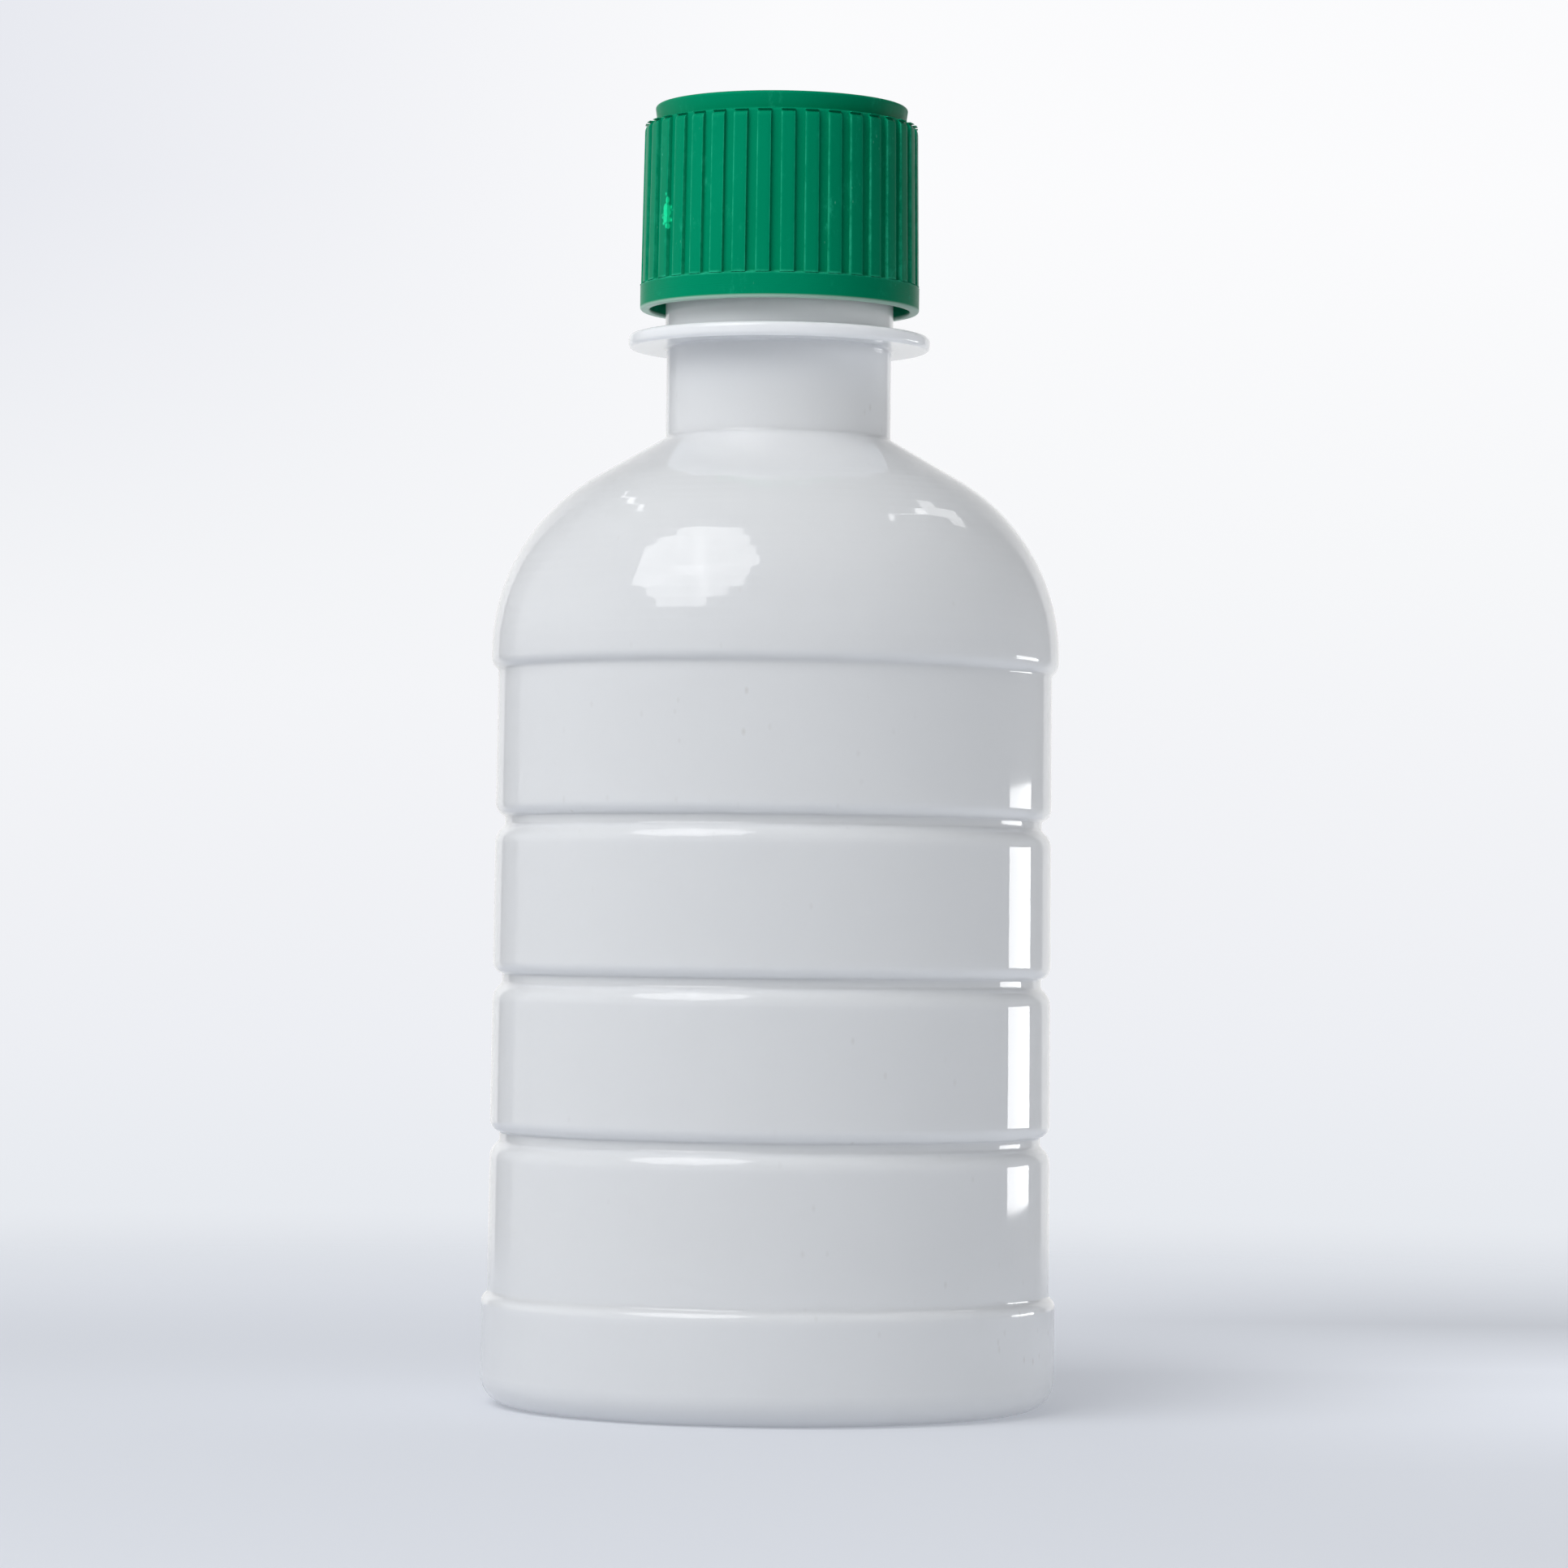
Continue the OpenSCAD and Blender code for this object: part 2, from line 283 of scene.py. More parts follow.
# %% [markdown]
# ## The bottle
#
# On the real bottle the outside takes the form of the mould, and the wall follows it inside at
# about 0.7 mm, so every groove shows inside too. Solidify could give that wall, but the neck is
# far thicker than the body, because the neck is moulded and only the body is blown. So the inner
# line is worked out from the outer one, and the two are drawn as one closed section.

# %% Sizes of the bottle
FOOT_R = bottle_high.x
MOUTH_Z = bottle_high.z
FOOT_H = 12.2
HEEL_ROUND = 3.3
STAND_R = 24
PUSHUP_H = 4.4
PUSHUP_FLAT_R = 9
GATE_R = 2.2
GATE_H = 0.4
BODY_R = 30.6
BODY_TAPER = math.radians(0.3)
GROOVE_Z = 29.05
GROOVE_PITCH = 17.15
GROOVE_COUNT = 3
GROOVE_D = 1.04
GROOVE_W = 0.95
GROOVE_ROUND = 0.22
GROOVE_LOW_ROUND = 0.55
PANEL_FOOT_ROUND = 1.4
PANEL_FOOT_SLOPE = math.radians(23)
PANEL_TOP_ROUND = 2.2
PANEL_TOP_SLOPE = math.radians(41)
SHOULDER_R = 30.98
SHOULDER_Z = 80.45
SHOULDER_ROUND = 1.5
SHOULDER_SLOPE = math.radians(42)
DOME_R = 22.2
CONE_SLOPE = math.radians(30)
NECK_Z = 105.4
NECK_LOW_R = 12.3
NECK_ROUND = 0.6
RING_Z = 115.2
RING_T = 1.5
RING_R = 16.5
RING_ROUND = 0.5
FINISH_R = 12.47
BORE_R = 10.9
MOUTH_ROUND = 0.45
WALL = 0.7
THINNING_LEN = 4
THIN_Z = RING_Z - 2 - THINNING_LEN
BOTTLE_STEPS = 180


def panel_r(z):
    """Radius of the body's panels at a height: the body narrows a little upwards."""
    return BODY_R - (z - FOOT_H) * math.tan(BODY_TAPER)


def step_round(wanted, inner, depth, slope):
    """The rounding of a step's outer edge, as large as the step has room for beside the inner one."""
    return min(wanted, 0.96 * depth / (1 - math.sin(slope)) - inner)


def step_edge(r, z, depth, slope, wanted, inner=GROOVE_LOW_ROUND):
    """The outer corner of a step of the given depth whose inner corner lies at height z."""
    steep = abs(slope)
    return (r, z + math.copysign(depth, slope) * math.tan(steep), step_round(wanted, inner, depth, steep))


def groove(z):
    """The four corners of one groove, from its top down."""
    r = panel_r(z)
    top = z + GROOVE_W / 2
    low = z - GROOVE_W / 2
    return [
        step_edge(r, top, GROOVE_D, PANEL_FOOT_SLOPE, PANEL_FOOT_ROUND, GROOVE_ROUND),
        (r - GROOVE_D, top, GROOVE_ROUND),
        (r - GROOVE_D, low, GROOVE_LOW_ROUND),
        step_edge(r, low, GROOVE_D, -PANEL_TOP_SLOPE, PANEL_TOP_ROUND),
    ]


# %% Section of the bottle
dome_corner_z = NECK_Z - (SHOULDER_R - NECK_LOW_R) * math.tan(CONE_SLOPE)
lip_r = panel_r(SHOULDER_Z)
lip_z = SHOULDER_Z - (SHOULDER_R - lip_r) * math.tan(SHOULDER_SLOPE)
grooves = [corner for i in reversed(range(GROOVE_COUNT)) for corner in groove(GROOVE_Z + i * GROOVE_PITCH)]
shell_corners = [
    (NECK_LOW_R, THIN_Z, 0),
    (NECK_LOW_R, NECK_Z, NECK_ROUND),
    (SHOULDER_R, dome_corner_z, DOME_R),
    step_edge(SHOULDER_R, lip_z, SHOULDER_R - lip_r, SHOULDER_SLOPE, SHOULDER_ROUND),
    (lip_r, lip_z, GROOVE_LOW_ROUND),
    *grooves,
    (BODY_R, FOOT_H, GROOVE_LOW_ROUND),
    step_edge(FOOT_R, FOOT_H, FOOT_R - BODY_R, -PANEL_TOP_SLOPE, PANEL_TOP_ROUND),
    (FOOT_R, 0, HEEL_ROUND),
    (STAND_R, 0, 2),
    (STAND_R - 3, PUSHUP_H - 1.4, 3),
    (PUSHUP_FLAT_R, PUSHUP_H, 10),
    (0, PUSHUP_H, 0),
]
# The moulding mark in the middle of the base is part of the outer line only
outside_corners = shell_corners[:-1] + [
    (GATE_R, PUSHUP_H, 0.15),
    (GATE_R - 0.2, PUSHUP_H - GATE_H, 0.15),
    (0, PUSHUP_H - GATE_H, 0),
]
finish_corners = [
    (BORE_R + MOUTH_ROUND, MOUTH_Z, 0),
    (FINISH_R, MOUTH_Z, MOUTH_ROUND),
    (FINISH_R, RING_Z + RING_T, 0.3),
    (RING_R, RING_Z + RING_T, RING_ROUND),
    (RING_R, RING_Z, RING_ROUND),
    (NECK_LOW_R, RING_Z, 0.4),
]
bore_corners = [
    (NECK_LOW_R - WALL, THIN_Z, 0),
    (BORE_R, THIN_Z + THINNING_LEN, 3),
    (BORE_R, MOUTH_Z, MOUTH_ROUND),
    (BORE_R + MOUTH_ROUND, MOUTH_Z, 0),
]
outer_line = rounded(finish_corners + outside_corners)
inner_line = list(reversed(rounded(inset(shell_corners, WALL))))
bore_line = rounded(bore_corners)
print("the bottle's section has", len(outer_line) + len(inner_line) + len(bore_line), "points")

# %% Spin the bottle and add its thread
THREAD_R = 13.7
NECK_TURNS = 1.8
CAP_TURNS = 1.6
THREAD_LEAD = 2.9
NECK_THREAD_Z = MOUTH_Z - THREAD_LEAD - NECK_TURNS * PITCH

bottle = draw_section("bottle_shell", supported(outer_line + inner_line + bore_line[1:]))
spin_round(BOTTLE_STEPS)
bpy.ops.object.mode_set(mode="OBJECT")
neck_thread = thread_ridge("neck_thread", FINISH_R, THREAD_R, NECK_THREAD_Z, NECK_TURNS)
join_into(bottle, [neck_thread])
smooth(bottle, 40)

# %% [markdown]
# ## The cap
#
# The cap is spun too, with one column of faces for each seventh of a rib's space. Four columns
# of every seven are then pushed out as one region, which makes all the ribs at once and leaves
# them grown together with the skirt, as in the mould. Copies of a single rib stuck on the skirt
# would look right from afar but would show a seam at the foot of each rib.

# %% Sizes of the cap
CAP_TOP = cap_high.z
CAP_RIM = cap_low.z
BAND_R = cap_high.x
CAP_BORE_R = 13.95
CAP_CREST_R = 12.8
CAP_CORE_R = 14.5
CAP_DRAFT = 0.25
RIB_COUNT = 36
RIB_H = 0.45
RIB_END = 0.9
COLUMNS = 7
RIB_COLUMNS = 4
BAND_TOP = CAP_RIM + 2.75
LEDGE_Z = CAP_TOP - 1.95
DISC_R = 13.86
DISC_UNDERCUT = 0.28
RIM_RELIEF = 0.3
RIM_RELIEF_H = 2
EDGE_ROUND = 0.3
DIMPLE_R = 2
DIMPLE_D = 0.35
RIB_END_ROWS = 4
SEAT_R = FINISH_R + 0.4
SEAT_Z = MOUTH_Z - 1
SEAT_SLOPE = math.radians(30)


def skirt_r(z):
    """Radius of the skirt between the ribs at a height: it widens towards the rim."""
    return CAP_CORE_R + CAP_DRAFT * (LEDGE_Z - z) / (LEDGE_Z - BAND_TOP)


# %% Section of the cap
rib_row_step = (RIB_END - EDGE_ROUND) / (RIB_END_ROWS - 1)
rib_rows = [LEDGE_Z - EDGE_ROUND - rib_row_step * i for i in range(RIB_END_ROWS)]
cap_corners = [
    (0, CAP_TOP - DIMPLE_D, 0),
    (DIMPLE_R - 0.4, CAP_TOP - DIMPLE_D, 0.1),
    (DIMPLE_R, CAP_TOP, 0.1),
    (DISC_R, CAP_TOP, EDGE_ROUND),
    (DISC_R - DISC_UNDERCUT, LEDGE_Z, 0.15),
    (CAP_CORE_R, LEDGE_Z, EDGE_ROUND),
    *[(skirt_r(z), z, 0) for z in rib_rows[1:]],
    (CAP_CORE_R + CAP_DRAFT, BAND_TOP, 0.1),
    (BAND_R, BAND_TOP, 0.15),
    (BAND_R, CAP_RIM, EDGE_ROUND),
    (CAP_BORE_R + RIM_RELIEF, CAP_RIM, EDGE_ROUND / 2),
    (CAP_BORE_R + RIM_RELIEF, CAP_RIM + RIM_RELIEF_H, 0.2),
    (CAP_BORE_R, CAP_RIM + RIM_RELIEF_H + RIM_RELIEF, 0.2),
    (CAP_BORE_R, SEAT_Z - (CAP_BORE_R - SEAT_R) * math.tan(SEAT_SLOPE), 0.2),
    (SEAT_R, SEAT_Z, 0.2),
    (SEAT_R, liner_high.z, 0),
    (0, liner_high.z, 0),
]
cap = draw_section("screw_cap", supported(rounded(cap_corners)))
spin_round(RIB_COUNT * COLUMNS)


# %% Push out the ribs
def is_rib_face(face):
    """True for the faces of the skirt's outside that lie under a rib."""
    centre = face.center / MM
    radius = math.hypot(centre.x, centre.y)
    if not (BAND_TOP < centre.z < LEDGE_Z - EDGE_ROUND / 2 and abs(radius - skirt_r(centre.z)) < 0.1):
        return False
    column = math.degrees(math.atan2(centre.y, centre.x)) % (360 / RIB_COUNT) / (360 / RIB_COUNT / COLUMNS)
    return column < RIB_COLUMNS


pushed = select_where(cap, "faces", is_rib_face)
bpy.ops.mesh.extrude_region_move()
grow = (CAP_CORE_R + RIB_H) / CAP_CORE_R
bpy.ops.transform.resize(value=(grow, grow, 1), center_override=(0, 0, 0))
print("faces under the ribs:", pushed)

# %% Slope the top ends of the ribs
for i, z in enumerate(rib_rows):
    part = 1 - i / (RIB_END_ROWS - 1)
    drop = RIB_H * (1 - math.sqrt(1 - part * part)) if part < 1 else RIB_H * 0.8
    crest = CAP_CORE_R + RIB_H
    count = select_where(cap, "vertices", lambda v: abs(v.co.z / MM - z) < 0.08
                         and math.hypot(v.co.x, v.co.y) / MM > skirt_r(z) + RIB_H / 2)
    shrink = (crest - drop) / crest
    bpy.ops.transform.resize(value=(shrink, shrink, 1), center_override=(0, 0, z * MM))
bpy.ops.object.mode_set(mode="OBJECT")

# %% Round the edges of the ribs and add the cap's thread
edges = cap.modifiers.new("edges", "BEVEL")
edges.limit_method = "ANGLE"
edges.angle_limit = math.radians(38)
edges.width = 0.07 * MM
edges.segments = 2
apply_modifiers(cap)
cap_thread = thread_ridge("cap_thread", CAP_BORE_R, CAP_CREST_R, NECK_THREAD_Z - PITCH / 2, CAP_TURNS)
join_into(cap, [cap_thread])
smooth(cap, 40)

# %% [markdown]
# ## The sealing disc
#
# Inside the cap lies a thin disc of foamed plastic. The mouth presses a shallow ring into it,
# which is all that gives it a look of its own when the cap comes off.

# %% Spin the sealing disc
LINER_R = liner_high.x
LINER_LOW = liner_low.z
CLEARANCE = 0.01
LINER_TOP = liner_high.z - CLEARANCE
PRESS_D = 0.06
disc_corners = [
    (0, LINER_TOP, 0),
    (LINER_R, LINER_TOP, 0.1),
    (LINER_R, LINER_LOW, 0.15),
    (FINISH_R - 0.3, LINER_LOW, 0.1),
    (FINISH_R - 0.4, LINER_LOW + PRESS_D, 0.1),
    (BORE_R + 0.4, LINER_LOW + PRESS_D, 0.1),
    (BORE_R + 0.3, LINER_LOW, 0.1),
    (0, LINER_LOW, 0),
]
liner = draw_section("sealing_disc", supported(rounded(disc_corners)))
spin_round(96)
bpy.ops.object.mode_set(mode="OBJECT")
smooth(liner, 40)

# %% [markdown]
# ## Finishes
#
# The bottle's plastic is milky and very glossy: light goes a little way in and comes out soft,
# and a clear skin on top mirrors the lamps. The cap's plastic is satin, with dust, fine scuffs and
# a few scratches. Both share two effects, so each effect is a node group: the gentle ripple of a
# moulded skin, and the marks of handling.

# %% Helpers for nodes
def add(tree, kind, at, inputs=None, **settings):
    """Adds a node with its place, its settings and the values of its unlinked inputs."""
    made = tree.nodes.new(kind)
    made.location = at
    for name, value in settings.items():
        setattr(made, name, value)
    for name, value in (inputs or {}).items():
        made.inputs[name].default_value = value
    return made


def ramp(tree, at, stops):
    """A colour ramp from a list of positions and grey or colour values."""
    made = add(tree, "ShaderNodeValToRGB", at)
    elements = made.color_ramp.elements
    while len(elements) < len(stops):
        elements.new(0.5)
    for element, (position, value) in zip(elements, stops):
        element.position = position
        element.color = (*value, 1) if isinstance(value, tuple) else (value, value, value, 1)
    return made


def new_group(name, inputs, outputs):
    """A shader node group with number sockets, a Vector input and the named outputs."""
    group = bpy.data.node_groups.new(name, "ShaderNodeTree")
    group.interface.new_socket("Vector", in_out="INPUT", socket_type="NodeSocketVector")
    for socket in inputs:
        group.interface.new_socket(socket, in_out="INPUT", socket_type="NodeSocketFloat")
    for socket in outputs:
        group.interface.new_socket(socket, in_out="OUTPUT", socket_type="NodeSocketFloat")
    enter = add(group, "NodeGroupInput", (-900, 0))
    leave = add(group, "NodeGroupOutput", (900, 0))
    return group, enter, leave


# %% Group: the ripple and grain of a moulded skin
skin, enter, leave = new_group("moulded_skin", ["Ripple size", "Grain size"], ["Ripple", "Grain"])
ripple = add(skin, "ShaderNodeTexNoise", (-300, 150), {"Detail": 1.5, "Roughness": 0.4})
grain = add(skin, "ShaderNodeTexNoise", (-300, -150), {"Detail": 4, "Roughness": 0.6})
for texture, size, output in ((ripple, "Ripple size", "Ripple"), (grain, "Grain size", "Grain")):
    skin.links.new(enter.outputs["Vector"], texture.inputs["Vector"])
    skin.links.new(enter.outputs[size], texture.inputs["Scale"])
    skin.links.new(texture.outputs["Fac"], leave.inputs[output])

# %% Group: dust specks, scratches and patches of scuffing
marks, enter, leave = new_group(
    "handling_marks", ["Speck size", "Scratch size", "Patch size"], ["Specks", "Scratches", "Scuffs", "Haze"])
cells = add(marks, "ShaderNodeTexVoronoi", (-500, 350), {"Randomness": 1.0}, feature="F1")
speck_edge = ramp(marks, (-250, 350), [(0.0, 1.0), (0.13, 0.0)])
lean = add(marks, "ShaderNodeMapping", (-700, 50), {"Rotation": (0.35, 0.6, 0.9), "Scale": (1.0, 1.0, 0.06)})
thin = add(marks, "ShaderNodeTexVoronoi", (-500, 50), {"Randomness": 1.0}, feature="F1")
line_edge = ramp(marks, (0, 50), [(0.0, 1.0), (0.045, 0.0)])
patches = add(marks, "ShaderNodeTexNoise", (-500, -250), {"Detail": 6, "Roughness": 0.65})
patch_edge = ramp(marks, (-250, -250), [(0.52, 0.0), (0.66, 1.0)])
rare = add(marks, "ShaderNodeMath", (300, 350), operation="MULTIPLY")
broken = add(marks, "ShaderNodeMath", (300, 50), operation="MULTIPLY")
marks.links.new(enter.outputs["Vector"], lean.inputs["Vector"])
for texture, size, source in (
        (cells, "Speck size", enter), (thin, "Scratch size", lean), (patches, "Patch size", enter)):
    marks.links.new(source.outputs["Vector"], texture.inputs["Vector"])
    marks.links.new(enter.outputs[size], texture.inputs["Scale"])
marks.links.new(cells.outputs["Distance"], speck_edge.inputs["Fac"])
marks.links.new(thin.outputs["Distance"], line_edge.inputs["Fac"])
marks.links.new(patches.outputs["Fac"], patch_edge.inputs["Fac"])
marks.links.new(speck_edge.outputs["Color"], rare.inputs[0])
marks.links.new(patch_edge.outputs["Color"], rare.inputs[1])
marks.links.new(line_edge.outputs["Color"], broken.inputs[0])
marks.links.new(patch_edge.outputs["Color"], broken.inputs[1])
mottle = add(marks, "ShaderNodeTexNoise", (-500, -500), {"Detail": 5, "Roughness": 0.75})
mottle_edge = ramp(marks, (-250, -500), [(0.50, 0.0), (0.66, 1.0)])
hazy = add(marks, "ShaderNodeMath", (300, -400), operation="MULTIPLY")
marks.links.new(enter.outputs["Vector"], mottle.inputs["Vector"])
marks.links.new(enter.outputs["Speck size"], mottle.inputs["Scale"])
marks.links.new(mottle.outputs["Fac"], mottle_edge.inputs["Fac"])
marks.links.new(mottle_edge.outputs["Color"], hazy.inputs[0])
marks.links.new(patch_edge.outputs["Color"], hazy.inputs[1])
marks.links.new(hazy.outputs[0], leave.inputs["Haze"])
marks.links.new(rare.outputs[0], leave.inputs["Specks"])
marks.links.new(broken.outputs[0], leave.inputs["Scratches"])
marks.links.new(patch_edge.outputs["Color"], leave.inputs["Scuffs"])


# %% Start of every finish
def new_finish(name, stretch, skin_sizes, mark_sizes):
    """A material with its shader, object coordinates and the two shared groups, each with its sizes."""
    material = bpy.data.materials.new(name)
    material.use_nodes = True
    tree = material.node_tree
    tree.nodes.clear()
    output = add(tree, "ShaderNodeOutputMaterial", (900, 0))
    shader = add(tree, "ShaderNodeBsdfPrincipled", (600, 0))
    tree.links.new(shader.outputs["BSDF"], output.inputs["Surface"])
    coordinates = add(tree, "ShaderNodeTexCoord", (-1100, 0))
    mapping = add(tree, "ShaderNodeMapping", (-900, 0), {"Scale": stretch})
    tree.links.new(coordinates.outputs["Object"], mapping.inputs["Vector"])
    groups = []
    for group, y, sizes in ((skin, 250, skin_sizes), (marks, -250, mark_sizes)):
        made = add(tree, "ShaderNodeGroup", (-600, y), node_tree=group)
        tree.links.new(mapping.outputs["Vector"], made.inputs["Vector"])
        for size, value in sizes.items():
            made.inputs[f"{size} size"].default_value = value
        groups.append(made)
    return material, tree, shader, groups[0], groups[1]


def mix_colours(tree, at, mask, first, second):
    """Mixes two colours by a mask socket and returns the node's colour output."""
    mix = add(tree, "ShaderNodeMix", at, data_type="RGBA")
    tree.links.new(mask, mix.inputs["Factor"])
    for socket, value in ((mix.inputs[6], first), (mix.inputs[7], second)):
        if isinstance(value, tuple):
            socket.default_value = (*value, 1)
        else:
            tree.links.new(value, socket)
    return mix.outputs[2]


def fit_bump(tree, shader, height, depth_mm):
    """Sends a height to the shader's normal, as relief of the given depth."""
    bump = add(tree, "ShaderNodeBump", (350, -300), {"Strength": 1.0, "Distance": depth_mm * MM})
    tree.links.new(height, bump.inputs["Height"])
    tree.links.new(bump.outputs["Normal"], shader.inputs["Normal"])


# %% Milky glossy plastic of the bottle
WHITE = (0.757, 0.774, 0.797)
WHITE_CLOUD = (0.738, 0.757, 0.782)
milky, tree, shader, skin_node, marks_node = new_finish(
    "milky_plastic", (1, 1, 0.6), {"Ripple": 55, "Grain": 900}, {"Speck": 420, "Scratch": 480, "Patch": 45})
base = mix_colours(tree, (-200, 350), skin_node.outputs["Ripple"], WHITE, WHITE_CLOUD)
dusty = mix_colours(tree, (50, 350), marks_node.outputs["Specks"], base, (0.62, 0.62, 0.62))
tree.links.new(dusty, shader.inputs["Base Color"])
worn = add(tree, "ShaderNodeMapRange", (50, -50), {"To Min": 0.035, "To Max": 0.22})
tree.links.new(marks_node.outputs["Scratches"], worn.inputs["Value"])
tree.links.new(worn.outputs["Result"], shader.inputs["Roughness"])
shader.inputs["IOR"].default_value = 1.57
shader.inputs["Subsurface Weight"].default_value = 0.8
shader.inputs["Subsurface Radius"].default_value = (1.0, 1.0, 1.0)
shader.inputs["Subsurface Scale"].default_value = 0.002
fit_bump(tree, shader, skin_node.outputs["Ripple"], 0.05)

# %% [markdown]
# The cap is worn where fingers and other caps rub it: along the edges of the ribs and on the upper
# edge of the band. The left edge of each rib, as seen from the front, is also painted brighter as a
# highlight of the lamp. The band also shows fine lines left by the tool that cut the mould. The rim's
# underside is painted paler, as light shining through the thin rim. One deep chip on the left has a
# glassy face whose bright green is a painted highlight. All of these have a fixed place on the cap,
# so they are worked out from the object's own coordinates.

# %% Where the cap is worn, and where painted light is put in its colour
def range_mask(tree, value, at, low, high, start=0.0, end=1.0):
    """A soft step: start where the value is low, end where it is high."""
    made = add(tree, "ShaderNodeMapRange", at,
               {"From Min": low * MM, "From Max": high * MM, "To Min": start, "To Max": end},
               interpolation_type="SMOOTHSTEP")
    tree.links.new(value, made.inputs["Value"])
    return made.outputs["Result"]


def combine(tree, at, operation, first, second):
    """A Math node on two sockets or numbers."""
    made = add(tree, "ShaderNodeMath", at, operation=operation)
    for socket, value in zip(made.inputs, (first, second)):
        if isinstance(value, (int, float)):
            socket.default_value = value
        else:
            tree.links.new(value, socket)
    return made.outputs[0]


def cap_wear_and_painted_light(tree, coordinates):
    """Masks for the worn edges of ribs and band, with a painted highlight on one edge of each rib, the rim
    painted pale as light through it, and a height for the tool lines.
    """
    place = add(tree, "ShaderNodeSeparateXYZ", (-1500, -700))
    level = add(tree, "ShaderNodeCombineXYZ", (-1300, -700))
    radius = add(tree, "ShaderNodeVectorMath", (-1100, -700), operation="LENGTH")
    tree.links.new(coordinates, place.inputs["Vector"])
    tree.links.new(place.outputs["X"], level.inputs["X"])
    tree.links.new(place.outputs["Y"], level.inputs["Y"])
    tree.links.new(level.outputs[0], radius.inputs[0])
    r, z = radius.outputs["Value"], place.outputs["Z"]
    angle = combine(tree, (-1300, -900), "ARCTAN2", place.outputs["Y"], place.outputs["X"])
    turns = combine(tree, (-1100, -900), "MULTIPLY", angle, RIB_COUNT / (2 * math.pi))
    phase = combine(tree, (-900, -900), "FRACT", turns, 0.0)
    # Real wear on both rib edges. The left edge seen from the front gets the stronger share, which is a
    # painted highlight of the lamp on the left.
    rib_edges_and_highlight = ramp(tree, (-700, -900), [
        (0.0, 1.0), (0.06, 0.0), (0.51, 0.0), (0.571, 0.5), (0.60, 0.0), (0.97, 0.0), (1.0, 0.8)])
    tree.links.new(phase, rib_edges_and_highlight.inputs["Fac"])
    crest = range_mask(tree, r, (-700, -1150), CAP_CORE_R + RIB_H - 0.22, CAP_CORE_R + RIB_H - 0.08)
    ribbed = range_mask(tree, z, (-550, -1250), BAND_TOP, BAND_TOP + 0.1)
    on_rib = combine(tree, (-400, -900), "MULTIPLY", rib_edges_and_highlight.outputs["Color"],
                     combine(tree, (-450, -1200), "MULTIPLY", crest, ribbed))
    below = range_mask(tree, z, (-700, -1400), BAND_TOP - 0.28, BAND_TOP - 0.04)
    above = range_mask(tree, z, (-700, -1650), BAND_TOP + 0.02, BAND_TOP + 0.3, 1.0, 0.0)
    on_ledge = combine(tree, (-400, -1400), "MULTIPLY", below, above)
    rubbed = add(tree, "ShaderNodeTexNoise", (-700, -1900), {"Scale": 650, "Detail": 5, "Roughness": 0.7})
    tree.links.new(coordinates, rubbed.inputs["Vector"])
    broken = ramp(tree, (-500, -1900), [(0.36, 0.15), (0.62, 1.0)])
    tree.links.new(rubbed.outputs["Fac"], broken.inputs["Fac"])
    edges = combine(tree, (-200, -1100), "MAXIMUM", on_rib, on_ledge)
    worn = combine(tree, (0, -1100), "MULTIPLY", edges, broken.outputs["Color"])
    # Painted light: the rim's underside is made paler, standing in for light shining through the thin rim.
    rim = range_mask(tree, z, (-400, -2100), CAP_RIM + 0.1, CAP_RIM + 0.42, 1.0, 0.0)
    lines = add(tree, "ShaderNodeTexNoise", (-700, -2300), {"Scale": 1.0, "Detail": 3}, noise_dimensions="1D")
    wave = combine(tree, (-900, -2300), "MULTIPLY", z, 9000)
    tree.links.new(wave, lines.inputs["W"])
    band = range_mask(tree, z, (-400, -2500), BAND_TOP - 0.2, BAND_TOP, 1.0, 0.0)
    tooled = combine(tree, (-200, -2300), "MULTIPLY", lines.outputs["Fac"], band)
    return worn, rim, tooled


# %% The chip on the left of the cap
CHIP_AT = (-12.3 * MM, -8.6 * MM, 129.2 * MM)
CHIP_HALF = (0.62 * MM, 0.62 * MM, 2.0 * MM)


def chip_mask(tree, coordinates):
    """A ragged upright oval, and its own relief."""
    offset = add(tree, "ShaderNodeVectorMath", (-1500, 900), {1: CHIP_AT}, operation="SUBTRACT")
    scaled = add(tree, "ShaderNodeVectorMath", (-1300, 900), {1: CHIP_HALF}, operation="DIVIDE")
    reach = add(tree, "ShaderNodeVectorMath", (-1100, 900), operation="LENGTH")
    facets = add(tree, "ShaderNodeTexVoronoi", (-1300, 1150), {"Scale": 1500, "Randomness": 1.0})
    tree.links.new(coordinates, offset.inputs[0])
    tree.links.new(offset.outputs[0], scaled.inputs[0])
    tree.links.new(scaled.outputs[0], reach.inputs[0])
    tree.links.new(coordinates, facets.inputs["Vector"])
    ragged = combine(tree, (-900, 900), "ADD", reach.outputs["Value"], facets.outputs["Distance"])
    mask = ramp(tree, (-700, 900), [(0.80, 1.0), (0.95, 0.0)])
    tree.links.new(combine(tree, (-800, 900), "MULTIPLY", ragged, 0.65), mask.inputs["Fac"])
    relief = combine(tree, (-500, 1150), "MULTIPLY", facets.outputs["Distance"], mask.outputs["Color"])
    return mask.outputs["Color"], relief


# %% Satin green plastic of the cap
GREEN = (0.0, 0.255, 0.125)
GREEN_DEEP = (0.0, 0.225, 0.108)
GREEN_HAZE = (0.01, 0.34, 0.185)
GREEN_WORN_AND_HIGHLIGHT = (0.02, 0.42, 0.24)
